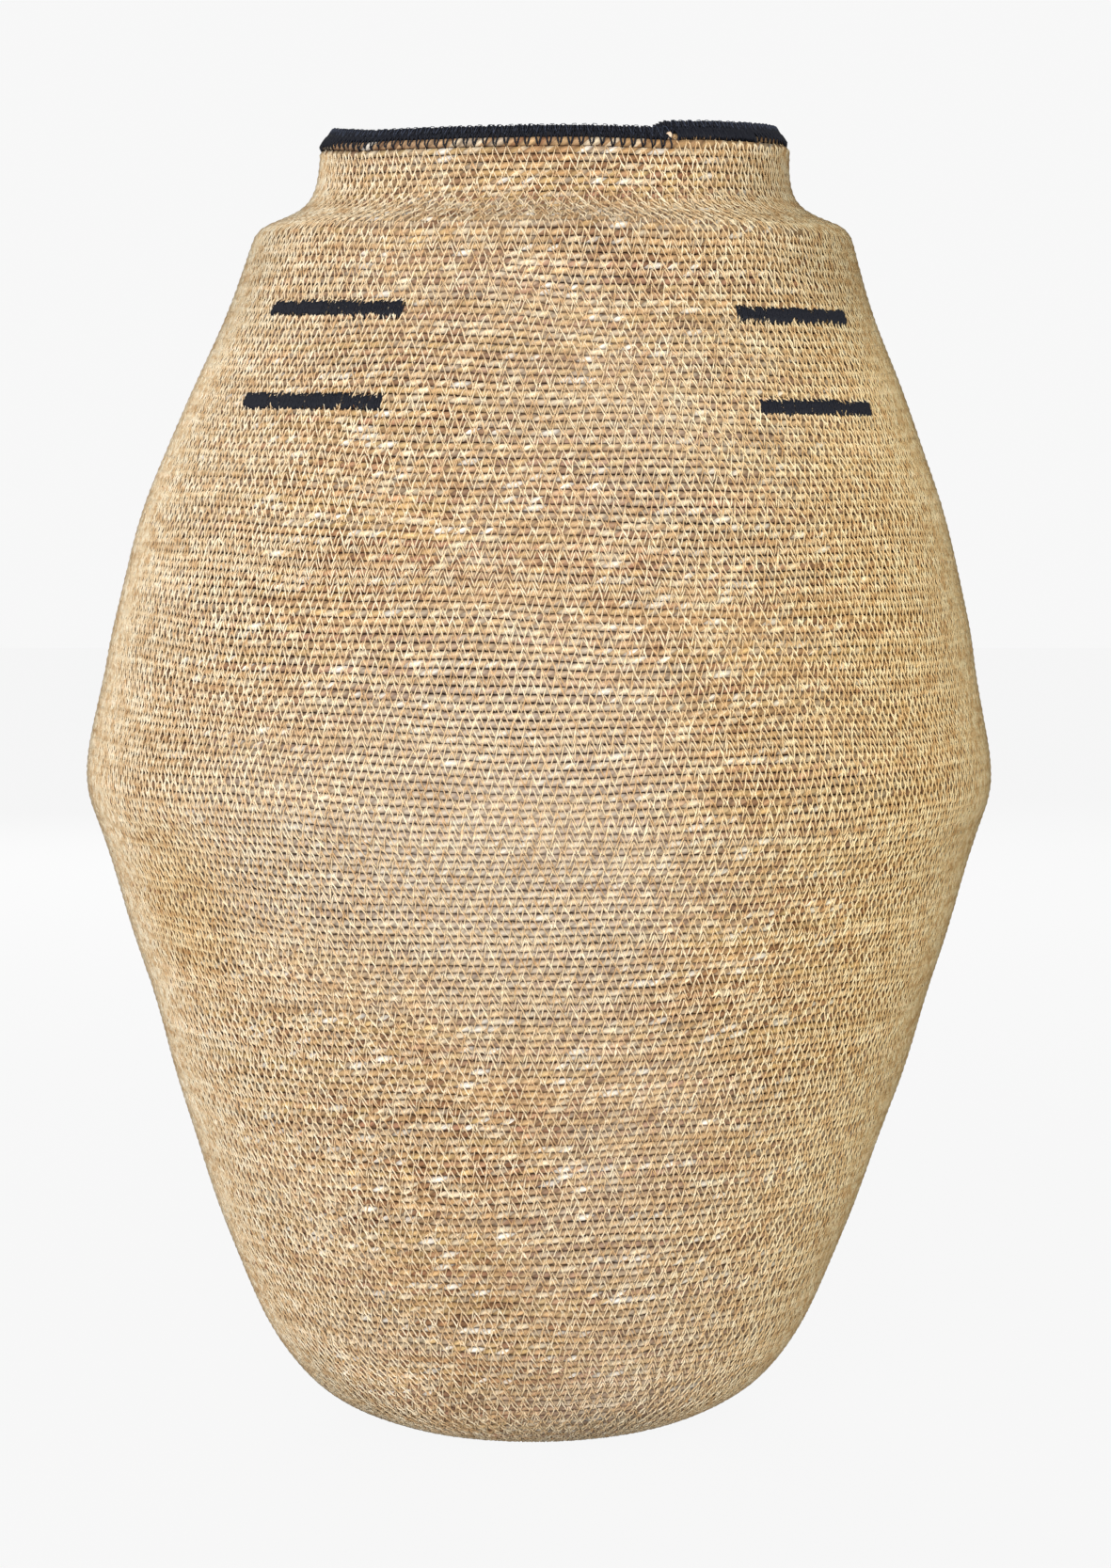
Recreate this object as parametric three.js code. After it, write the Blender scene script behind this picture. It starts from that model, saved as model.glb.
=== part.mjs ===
// Tall coiled floor basket: one long sewn cord wound from the middle of the base up to the mouth,
// with a rim of black cord and short black stitched bars below the shoulder.
// Millimetres, +Z up. The origin is on the floor, under the middle of the widest row.
import * as THREE from 'three';
import { mergeVertices } from 'three/addons/utils/BufferGeometryUtils.js';

// Driving sizes of the body
const height = 602;
const wall = 4;
const rowPitch = 3.45;
const flatRadius = 59;
const footRadius = 108;
const footHeight = 20;
const bellyRadius = 212;
const bellyHeight = 310;
const shoulderRadius = 137;
const shoulderDepth = 43.4;
const shoulderRounding = 5;
const mouthRadius = 108.7;
const collarDepth = 12;

// Softening of the belly: where its rounded crest starts and ends, measured from the belly point
const crestInsetBelow = 3;
const crestReachBelow = 20;
const crestInsetAbove = 10;
const crestReachAbove = 51;

// Slopes of the outside from upright
const footSlopeDegrees = 45;
const lowerSlopeDegrees = 20.3;
const upperSlopeDegrees = -8.5;
const shoulderSlopeDegrees = -17.2;
const shelfSlopeDegrees = -67.4;

// How far each curve of the outside keeps to the slope at its ends
const flatPull = 6;
const footPull = 20.3;
const lowerStartPull = 55.8;
const lowerEndPull = 64.5;
const crestPull = 22.5;
const upperStartPull = 84.9;
const upperEndPull = 65.4;
const cornerPull = 3;
const shelfPull = 18.8;
const collarPull = 22.5;

// The hand-sewn body stands a little out of true: the mouth is off to the right of the belly
const mouthShift = 7.5;
const footShift = -2.6;

// Seams between the sewn zones, and the gap kept by pieces that touch
const seamGap = 0.3;

// Rim: two turns of black cord, which take over where the plain cord ends and lean inward with its edge
const rimTurns = 2;
const rimCordRise = 3;
const rimLeanDegrees = -37;
const leaningEdge = 1.7;
const rimStartDegrees = -61.3;

// Black bars: satin stitches over two rows, with their needle holes just past them
const barRows = 2;
const barOverhang = 0.4;
const barThickness = 0.9;
const barClearance = 0.3;
const barPlaces = {
  front_left_upper: { degrees: 230.2, depth: 83.8, length: 79 },
  front_left_lower: { degrees: 230.9, depth: 124.7, length: 82 },
  front_right_upper: { degrees: 317.6, depth: 86.3, length: 76 },
  front_right_lower: { degrees: 316.7, depth: 127.3, length: 74 },
  back_right_upper: { degrees: 48, depth: 85, length: 78 },
  back_right_lower: { degrees: 48, depth: 126, length: 78 },
  back_left_upper: { degrees: 139, depth: 85, length: 78 },
  back_left_lower: { degrees: 139, depth: 126, length: 78 },
};

// Facets: steps round the body, round a loop of rim cord, and along each curve of the outside
const stepsAround = 48;
const stepsPerLoop = 24;
const sidesOfCord = 6;
const barStepDegrees = 2.5;
const curveSteps = { foot: 6, lower: 6, crest: 4, upper: 8, corner: 3, neck: 6 };
const lowerWallSteps = 2;
const upperWallSteps = 4;
const shelfSteps = 1;
const neckRootSteps = 3;

const radians = THREE.MathUtils.degToRad;

// A step along the outside at a slope given in degrees from upright
function along(slope, distance) {
  const angle = radians(slope);
  return new THREE.Vector2(Math.sin(angle) * distance, Math.cos(angle) * distance);
}

// The rim's ways up and out, and the corners of its cord's section from the middle of the cord
const rimUp = along(rimLeanDegrees, 1);
const rimOut = new THREE.Vector2(rimUp.y, -rimUp.x);
const rimCorners = Array.from({ length: sidesOfCord }, (_, side) => {
  const angle = (2 * Math.PI * side) / sidesOfCord;
  const across = Math.cos(angle) * (wall / 2);
  const up = (Math.sin(angle) * (rimCordRise / 2)) / Math.sin(Math.PI / 3);
  return rimOut.clone().multiplyScalar(across).addScaledVector(rimUp, up);
});

// Middle of the rim cord over a point of the collar's outer edge, some turns up
function rimMiddle(edge, turnsUp) {
  const lift = seamGap + rimCordRise / 2 + rowPitch * turnsUp;
  return edge.clone().addScaledVector(rimOut, -wall / 2).addScaledVector(rimUp, lift);
}

// The collar's outer edge, where the plain cord ends and the black one starts, and the knee below it
const rimReach = Math.max(...rimCorners.map((corner) => corner.y));
const edgeHeight = height - rimReach - rimMiddle(new THREE.Vector2(), rimTurns).y;
const collarKnee = new THREE.Vector2(mouthRadius, edgeHeight - rimUp.y * leaningEdge);
const collarEdge = collarKnee.clone().addScaledVector(rimUp, leaningEdge);

// The outside of the body as zones, each a list of (radius, height) points from the base up
function outlineZones() {
  const axis = new THREE.Vector2(0, 0);
  const flatEdge = new THREE.Vector2(flatRadius, 0);
  const foot = new THREE.Vector2(footRadius, footHeight);
  const crestLow = new THREE.Vector2(bellyRadius - crestInsetBelow, bellyHeight - crestReachBelow);
  const crestHigh = new THREE.Vector2(bellyRadius - crestInsetAbove, bellyHeight + crestReachAbove);
  const corner = new THREE.Vector2(shoulderRadius, height - shoulderDepth);
  const cornerLow = corner.clone().sub(along(shoulderSlopeDegrees, shoulderRounding));
  const cornerHigh = corner.clone().add(along(shelfSlopeDegrees, shoulderRounding));
  const collarFoot = new THREE.Vector2(mouthRadius, height - collarDepth);

  const footCurve = new THREE.CubicBezierCurve(
    flatEdge,
    new THREE.Vector2(flatRadius + flatPull, 0),
    foot.clone().sub(along(footSlopeDegrees, footPull)),
    foot,
  );
  const lowerCurve = new THREE.CubicBezierCurve(
    foot,
    foot.clone().add(along(footSlopeDegrees, lowerStartPull)),
    crestLow.clone().sub(along(lowerSlopeDegrees, lowerEndPull)),
    crestLow,
  );
  const crestCurve = new THREE.CubicBezierCurve(
    crestLow,
    crestLow.clone().add(along(lowerSlopeDegrees, crestPull)),
    crestHigh.clone().sub(along(upperSlopeDegrees, crestPull)),
    crestHigh,
  );
  const upperCurve = new THREE.CubicBezierCurve(
    crestHigh,
    crestHigh.clone().add(along(upperSlopeDegrees, upperStartPull)),
    cornerLow.clone().sub(along(shoulderSlopeDegrees, upperEndPull)),
    cornerLow,
  );
  const cornerCurve = new THREE.CubicBezierCurve(
    cornerLow,
    cornerLow.clone().add(along(shoulderSlopeDegrees, cornerPull)),
    cornerHigh.clone().sub(along(shelfSlopeDegrees, cornerPull)),
    cornerHigh,
  );
  const neckCurve = new THREE.CubicBezierCurve(
    cornerHigh,
    cornerHigh.clone().add(along(shelfSlopeDegrees, shelfPull)),
    new THREE.Vector2(mouthRadius, collarFoot.y - collarPull),
    collarFoot,
  );
  const lower = lowerCurve.getSpacedPoints(curveSteps.lower);
  const upper = upperCurve.getSpacedPoints(curveSteps.upper);
  const rounding = cornerCurve.getSpacedPoints(curveSteps.corner);
  const neck = neckCurve.getSpacedPoints(curveSteps.neck);
  const collarStart = shelfSteps + neckRootSteps;
  return [
    { name: 'base_disc', points: [axis, flatEdge] },
    { name: 'foot_curve', points: footCurve.getSpacedPoints(curveSteps.foot) },
    { name: 'lower_wall', points: lower.slice(0, lowerWallSteps + 1) },
    { name: 'flare_wall', points: lower.slice(lowerWallSteps) },
    { name: 'belly_band', points: crestCurve.getSpacedPoints(curveSteps.crest) },
    { name: 'upper_wall', points: upper.slice(0, upperWallSteps + 1) },
    { name: 'taper_wall', points: upper.slice(upperWallSteps) },
    { name: 'shoulder', points: [...rounding, ...neck.slice(1, shelfSteps + 1)] },
    { name: 'neck_root', points: neck.slice(shelfSteps, collarStart + 1) },
    { name: 'neck_collar', points: [...neck.slice(collarStart), collarKnee, collarEdge] },
  ];
}

// Sideways shift of the body's centre at a height
function centreShift(z) {
  if (z < bellyHeight) {
    return footShift * (1 - z / bellyHeight) ** 2;
  }
  return mouthShift * ((z - bellyHeight) / (height - bellyHeight)) ** 1.5;
}

// Point of the body at an azimuth, from a radius, a height and the centre's shift there
function placed(radius, z, shift, azimuth) {
  return new THREE.Vector3(shift + radius * Math.cos(azimuth), radius * Math.sin(azimuth), z);
}

// Direction out of the wall at a point between two edges of the outline
function outwardBetween(before, after) {
  const normals = [before, after].map((edge) => new THREE.Vector2(edge.y, -edge.x).normalize());
  const mean = normals[0].clone().add(normals[1]).normalize();
  return mean.divideScalar(mean.dot(normals[0]));
}

// One line of outer and inner points through all the zones, the wall apart
function wallLine(zones) {
  const outer = [];
  const firstOf = {};
  for (const zone of zones) {
    firstOf[zone.name] = Math.max(outer.length - 1, 0);
    outer.push(...(outer.length ? zone.points.slice(1) : zone.points));
  }
  const inner = outer.map((point, i) => {
    const before = i > 0 ? point.clone().sub(outer[i - 1]) : outer[1].clone().sub(point);
    const after = i < outer.length - 1 ? outer[i + 1].clone().sub(point) : before;
    return point.clone().sub(outwardBetween(before, after).multiplyScalar(wall));
  });
  return { outer, inner, firstOf };
}

// Moves an end point of a zone back along its edge, for half of the seam's gap
function drawnBack(end, next) {
  const edge = next.clone().sub(end);
  return end.clone().add(edge.setLength(seamGap / 2));
}

// Closed outline of one zone of the wall: up the outside and down the inside
function zoneOutline(line, zone) {
  const first = line.firstOf[zone.name];
  const last = first + zone.points.length - 1;
  const sides = [line.outer, line.inner].map((side) => {
    const points = side.slice(first, last + 1).map((point) => point.clone());
    const count = points.length;
    const low = first > 0 ? drawnBack(points[0], points[1]) : points[0];
    const high = drawnBack(points[count - 1], points[count - 2]);
    points[0] = low;
    points[count - 1] = high;
    return points;
  });
  return [...sides[0], ...sides[1].reverse()];
}

// Triangles between neighbouring sections; what has shrunk to nothing is left out
class Skin {
  constructor() {
    this.points = [];
  }

  triangle(a, b, c) {
    const tiny = 1e-6;
    if (a.distanceTo(b) > tiny && b.distanceTo(c) > tiny && c.distanceTo(a) > tiny) {
      this.points.push(a, b, c);
    }
  }

  quad(a, b, c, d) {
    this.triangle(a, b, c);
    this.triangle(a, c, d);
  }

  join(sections) {
    for (let k = 1; k < sections.length; k += 1) {
      const [here, next] = [sections[k - 1], sections[k]];
      for (let i = 0; i < here.length; i += 1) {
        const j = (i + 1) % here.length;
        this.quad(here[i], next[i], next[j], here[j]);
      }
    }
  }

  cap(section) {
    for (let i = 2; i < section.length; i += 1) {
      this.triangle(section[0], section[i - 1], section[i]);
    }
  }

  geometry() {
    const geometry = new THREE.BufferGeometry().setFromPoints(this.points);
    const merged = mergeVertices(geometry, 1e-4);
    merged.computeVertexNormals();
    return merged;
  }
}

// Tube of sections with both ends closed
function cappedTube(sections) {
  const skin = new Skin();
  skin.join(sections);
  skin.cap(sections[0]);
  skin.cap([...sections[sections.length - 1]].reverse());
  return skin.geometry();
}

// A zone turned once round the body
function ringOfWall(outline) {
  const skin = new Skin();
  const sections = [];
  for (let k = 0; k <= stepsAround; k += 1) {
    const azimuth = (2 * Math.PI * (k % stepsAround)) / stepsAround;
    sections.push(outline.map((point) => placed(point.x, point.y, centreShift(point.y), azimuth)));
  }
  skin.join(sections);
  return skin.geometry();
}

// The collar ends in the last plain row, which climbs one pitch round the mouth and stops in a step
function collar(outline) {
  const half = outline.length / 2;
  const [outer, inner] = [outline.slice(0, half), outline.slice(half)];
  const skin = new Skin();
  const sections = [];
  for (let k = 0; k <= stepsAround; k += 1) {
    const azimuth = radians(rimStartDegrees) + (2 * Math.PI * (k % stepsAround)) / stepsAround;
    const climb = rimUp.clone().multiplyScalar(rowPitch * (1 - k / stepsAround));
    const there = (point) => placed(point.x, point.y, centreShift(point.y), azimuth);
    const raised = (point) => placed(point.x + climb.x, point.y + climb.y, centreShift(point.y), azimuth);
    sections.push([
      ...outer.map(there),
      raised(outer[half - 1]),
      raised(inner[0]),
      ...inner.map(there),
    ]);
  }
  skin.join(sections);
  skin.cap(sections[0].slice(half - 1, half + 3));
  return skin.geometry();
}

// Section of the rim cord at an azimuth, round its middle
function cordSection(azimuth, middle) {
  const shift = centreShift(middle.y);
  return rimCorners.map((corner) => placed(middle.x + corner.x, middle.y + corner.y, shift, azimuth));
}

// The black cord: one unbroken tube that climbs clockwise, seen from above, over the last plain row
function rimCordSections() {
  const sections = [];
  const steps = rimTurns * stepsPerLoop;
  const endGap = seamGap / mouthRadius;
  for (let k = 0; k <= steps; k += 1) {
    const turnsLeft = rimTurns - k / stepsPerLoop;
    const back = k === steps ? endGap : 0;
    const azimuth = radians(rimStartDegrees) + (2 * Math.PI * k) / stepsPerLoop - back;
    sections.push(cordSection(azimuth, rimMiddle(collarEdge, turnsLeft)));
  }
  return sections;
}

// Least gap between points of the cord that lie about a loop apart
function leastGap(sections) {
  let least = Infinity;
  for (let k = 0; k < sections.length; k += 1) {
    for (let m = k + stepsPerLoop / 2; m < sections.length; m += 1) {
      for (const a of sections[k]) {
        for (const b of sections[m]) {
          least = Math.min(least, a.distanceTo(b));
        }
      }
    }
  }
  return least;
}

// Place on the outside at a height: radius, centre's shift and the way out of the wall
function outsideAt(line, z) {
  const k = line.outer.findIndex((point, i) => i > 0 && point.y >= z);
  const [low, high] = [line.outer[k - 1], line.outer[k]];
  const share = (z - low.y) / (high.y - low.y);
  const out = new THREE.Vector2(high.y - low.y, low.x - high.x).normalize();
  const shift = THREE.MathUtils.lerp(centreShift(low.y), centreShift(high.y), share);
  return { radius: THREE.MathUtils.lerp(low.x, high.x, share), shift, out };
}

// A bar of satin stitches, as a thin plate bent round the wall
function stitchedBar(line, { degrees, depth, length }) {
  const rise = barRows * rowPitch + 2 * barOverhang;
  const middle = height - depth;
  const middleRadius = outsideAt(line, middle).radius;
  const halfAngle = length / middleRadius / 2;
  const steps = Math.ceil((2 * halfAngle) / radians(barStepDegrees));
  const sections = [];
  for (let k = 0; k <= steps; k += 1) {
    const azimuth = radians(degrees) - halfAngle + (2 * halfAngle * k) / steps;
    const corner = (z, proud) => {
      const { radius, shift, out } = outsideAt(line, z);
      return placed(radius + out.x * proud, z + out.y * proud, shift, azimuth);
    };
    const [low, high] = [middle - rise / 2, middle + rise / 2];
    const outerFace = barClearance + barThickness;
    sections.push([
      corner(low, outerFace),
      corner(high, outerFace),
      corner(high, barClearance),
      corner(low, barClearance),
    ]);
  }
  return cappedTube(sections);
}

function material(name, color, roughness) {
  return new THREE.MeshStandardMaterial({ name, color, roughness, metalness: 0 });
}

const seagrass = material('seagrass cord', 0xc2a67a, 0.85);
const blackCord = material('black cord', 0x15171f, 0.75);
const blackThread = material('black thread', 0x12141c, 0.8);

const basket = new THREE.Group();

function add(name, geometry, finish) {
  const mesh = new THREE.Mesh(geometry, finish);
  mesh.name = name;
  basket.add(mesh);
}

const zones = outlineZones();
const line = wallLine(zones);

for (const zone of zones) {
  const build = zone.name === 'neck_collar' ? collar : ringOfWall;
  add(zone.name, build(zoneOutline(line, zone)), seagrass);
}

const rimSections = rimCordSections();
console.log(`rim cord: least gap to itself ${leastGap(rimSections).toFixed(2)} mm`);
add('rim_cord', cappedTube(rimSections), blackCord);

for (const [name, place] of Object.entries(barPlaces)) {
  add(`bar_${name}`, stitchedBar(line, place), blackThread);
}

export default basket;
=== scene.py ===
"""A tall floor basket sewn from one coiled seagrass cord, with a black cord rim and stitched bars.

Metres, +Z up. The outside's stations come from the CAD frame; the sizes named below do the rest.
The cord is a real two-ply cord wound in one spiral, and each row is sewn to the next by a zigzag.
"""

import math

import bpy
import numpy as np
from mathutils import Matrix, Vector


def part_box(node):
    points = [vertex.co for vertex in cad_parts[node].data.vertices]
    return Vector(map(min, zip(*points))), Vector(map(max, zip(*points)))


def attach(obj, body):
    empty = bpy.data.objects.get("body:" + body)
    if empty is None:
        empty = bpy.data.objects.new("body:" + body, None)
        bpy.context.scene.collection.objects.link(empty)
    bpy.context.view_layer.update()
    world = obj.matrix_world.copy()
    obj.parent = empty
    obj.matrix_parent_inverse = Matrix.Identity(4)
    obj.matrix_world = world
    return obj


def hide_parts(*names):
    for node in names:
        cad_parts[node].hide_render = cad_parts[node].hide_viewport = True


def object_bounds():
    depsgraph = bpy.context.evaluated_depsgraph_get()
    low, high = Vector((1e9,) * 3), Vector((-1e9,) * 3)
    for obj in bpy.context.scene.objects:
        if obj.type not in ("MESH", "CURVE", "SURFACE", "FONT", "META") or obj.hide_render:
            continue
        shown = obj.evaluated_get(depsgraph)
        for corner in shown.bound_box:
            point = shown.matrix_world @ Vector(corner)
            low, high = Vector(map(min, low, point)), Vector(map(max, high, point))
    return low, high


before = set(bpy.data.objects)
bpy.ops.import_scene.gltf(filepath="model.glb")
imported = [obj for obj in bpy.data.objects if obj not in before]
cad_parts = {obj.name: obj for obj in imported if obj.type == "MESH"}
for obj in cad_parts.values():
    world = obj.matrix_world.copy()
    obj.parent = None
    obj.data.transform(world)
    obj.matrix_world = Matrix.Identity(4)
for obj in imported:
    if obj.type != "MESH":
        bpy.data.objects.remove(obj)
cad_low, cad_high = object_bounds()

MM = 0.001
TURN = 2 * math.pi

# Cord: row pitch, thickness of the wall, half sizes of its section, length of one full twist, sides
# and step along it, depth of the groove between the plies, how much of that relief is left where the
# rows are pressed together, and how much taller a row gets at most where the wall bends
PITCH = 3.45 * MM
WALL = 4.0 * MM
HALF_THICK = 1.72 * MM
HALF_TALL = 1.84 * MM
LAY = 14 * MM
SIDES = 8
STEP = LAY / SIDES
GROOVE = 0.28
PLY_RELIEF = np.array([1.0, 0.95, 1 - GROOVE, 0.95, 1.0, 0.95, 1 - GROOVE, 0.95])
PRESSED = 0.3
MOST_STRETCH = 1.25

# Unevenness of the cord: the strands' bulge, its swelling as share, run and seed, and how far and in
# what runs it sways out of its row
BULGE_SPREAD = 0.055
SWELLS = [(0.05, 26 * MM, 11), (0.04, 9 * MM, 12)]
SWAY, SWAY_RUN = 0.28 * MM, 70 * MM

# Sewing: stitch period, half height of the zigzag, thread radius, heights over the cord's middle,
# rows left bare below the rim, shares of a leg at which it has a point, how the stitches lean and in
# what runs that changes, and how uneven they are
STITCH = 5.5 * MM
STITCH_HALF = 3.75 * MM
THREAD = 0.39 * MM
HOLE_DEPTH = 0.6 * MM
CROWN_OUT = 1.88 * MM
SEAM_OUT = 1.62 * MM
BARE_ROWS = 2
LEG = np.array([0, 0.27, 0.5, 0.73])
STITCH_LEAN, LEAN_SPREAD, LEAN_RUN = 0.30, 0.30, 180 * MM
UNEVEN_ALONG, UNEVEN_UP, UNEVEN_OUT = 0.22 * MM, 0.25 * MM, 0.05 * MM

# Rim: the plain cord ends at the lap, and two black turns go on from there to a tapered tail; black
# stitches hold them, with machine stitches over them whose grey is a painted highlight, and the plain
# cord's cut end shows beside the lap
LAP = math.radians(-61.3)
RIM_LEAN = math.radians(-37)
LEANING_EDGE = 1.7 * MM
SEAM_GAP = 0.3 * MM
BLACK_TURNS = 2
RIM_HALF_THICK = 1.9 * MM
RIM_TAIL, TIP_SIZE = 11 * MM, 0.3
BLACK_STITCH = 4.6 * MM
BLACK_THREAD = 0.46 * MM
BLACK_HOLE = 0.8 * MM
BLACK_UNEVEN_ALONG, BLACK_UNEVEN_UP = 0.18 * MM, 0.22 * MM
DASH_THREAD = 0.2 * MM
DASH_UNEVEN_ALONG, DASH_UNEVEN_UP = 0.25 * MM, 0.12 * MM
UNDER_STITCHES = math.radians(28)
CUT_END_BARE = 3.2 * MM
CUT_END_PROUD = 1.3 * MM
CUT_END_DOME = 2.2 * MM

# Outline: slopes from upright and how far each curve keeps to them
FOOT_SLOPE, LOWER_SLOPE, UPPER_SLOPE = np.radians([45, 20.3, -8.5])
CORNER_SLOPE, SHELF_SLOPE = np.radians([-17.2, -67.4])
FLAT_PULL, FOOT_PULL = 6 * MM, 20.3 * MM
LOWER_START_PULL, LOWER_END_PULL = 55.8 * MM, 64.5 * MM
CREST_PULL = 22.5 * MM
UPPER_START_PULL, UPPER_END_PULL = 84.9 * MM, 65.4 * MM
CORNER_PULL, SHELF_PULL, COLLAR_PULL = 3 * MM, 18.8 * MM, 22.5 * MM

# How far the crest reaches above the belly's middle, how far the shoulder's rounding reaches from its
# corner, radius of the neck, how far below the top it gets upright, how far the outline runs on above
# the rim's step, its fine step, and the least length from the axis
CREST_REACH = 51 * MM
SHOULDER_ROUNDING = 5 * MM
MOUTH_RADIUS = 108.7 * MM
COLLAR_DEPTH = 12 * MM
RUN_ON = 16 * MM
FINE = 0.5 * MM
LEAST = 0.2 * MM

# The mouth is off centre: how far, how that grows above the belly and below it, and up to where
MOUTH_SHIFT = 7.5 * MM
MOUTH_BEND, FOOT_BEND = 1.5, 2
MOST_SHIFTED = 1.2

# Waves of the wall and of its rows: height in millimetres, waves round, radians for each metre up
# the wall, and phase; and from which length up the wall and over how much they grow, and to which
# length and over how much they fade. The rim's own wave grows in from some depth below the top
DENTS = [(0.45, 2, 9, 0.6), (0.35, 3, -21, 2.1), (0.30, 5, 34, 4.0), (0.22, 9, -61, 0)]
DENTS_START, DENTS_GROW, DENTS_END, DENTS_FADE = 0.06, 0.06, 0.72, 0.05
RIPPLE, RIPPLE_UP, RIPPLE_SWING, RIPPLE_PHASE = 0.25, 95, 1.3, 1.0
WOBBLES = [(0.65, 4, 55, 0), (0.50, 7, -38, 1.0), (0.28, 13, 83, 2.0), (0.14, 29, -140, 0)]
WOBBLES_START, WOBBLES_GROW, WOBBLES_END, WOBBLES_FADE = 0.03, 0.04, 0.70, 0.04
WAVE_DEPTH, WAVE_GROW = 45 * MM, 40 * MM

# Seeds of the random draws
BULGE_SEED, TONE_SEED, SWAY_SEED, LEAN_SEED = 5, 17, 13, 21
SEWING_SEED, SEEDS_A_GROUP, INSIDE_SEED = 500, 100, 77
RIM_SEED, LAP_SEED, DASH_SEED, BAR_SEED = 31, 41, 47, 60

# Corners of a quad of a tube, along it and round it
ALONG_CORNERS = np.array([0, 0, 1, 1])
ROUND_CORNERS = np.array([0, 1, 1, 0])


def station(node, top):
    """Centre x, radius and height of a zone's ring at its top or its bottom."""
    low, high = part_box(node)
    return (low.x + high.x) / 2, np.array([(high.x - low.x) / 2, high.z if top else low.z])


def along(slope, distance):
    return np.array([math.sin(slope), math.cos(slope)]) * distance


def bezier(a, b, c, d, count=160):
    t = np.linspace(0, 1, count)[:, None]
    return (1 - t) ** 3 * a + 3 * (1 - t) ** 2 * t * b + 3 * (1 - t) * t**2 * c + t**3 * d


def soften(values, reach=5):
    """Running mean of two columns, so that no row turns a sharp corner."""
    window = np.hanning(2 * reach + 1)
    padded = np.pad(values, ((reach, reach), (0, 0)), mode="edge")
    return np.column_stack([np.convolve(column, window / window.sum(), "valid") for column in padded.T])


def waves(table, s, azimuth):
    return sum(high * np.sin(around * azimuth + up * s + phase) for high, around, up, phase in table) * MM


def between(s, start, grow, end, fade):
    """1 up most of the wall, and 0 before start and past end."""
    return np.clip((s - start) / grow, 0, 1) * np.clip((end - s) / fade, 0, 1)


def dents(s, azimuth):
    """Hand-made unevenness of the wall, which fades at the rim and at the base."""
    ripple = RIPPLE * MM * np.sin(RIPPLE_UP * s + RIPPLE_SWING * np.sin(azimuth) + RIPPLE_PHASE)
    share = between(s, DENTS_START, DENTS_GROW, DENTS_END, DENTS_FADE)
    return (waves(DENTS, s, azimuth) + ripple) * share


def row_wobble(s, azimuth):
    """How far a row strays up or down the wall, which fades at the rim and at the base."""
    share = between(s, WOBBLES_START, WOBBLES_GROW, WOBBLES_END, WOBBLES_FADE)
    return waves(WOBBLES, s, azimuth) * share


def rim_wave(azimuth):
    """The mouth isn't quite level: it sags at the front and rises at the sides."""
    places = np.radians([-180, -168, -155, -142, -120, -82, -64, -50, -34, -12, 30, 90, 140, 180])
    rise = np.array([3.2, 3.1, 1.4, -0.1, -0.1, 0.8, 0.3, 1.3, 2.0, 2.8, 1.8, 0.6, 1.5, 3.2]) * MM
    wrapped = (azimuth + math.pi) % TURN - math.pi
    return np.interp(wrapped, places, rise)


def row_tilt(z):
    """How much the rows run down to the right, as a share of x."""
    heights = np.array([0, 40, 100, 160, 250, 320, 400, 530, 556, 576, 602]) * MM
    tilt = np.array([0, -0.012, -0.02, -0.015, 0, 0.006, 0.02, 0.02, 0.008, 0, 0])
    return np.interp(z, heights, tilt)


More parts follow.
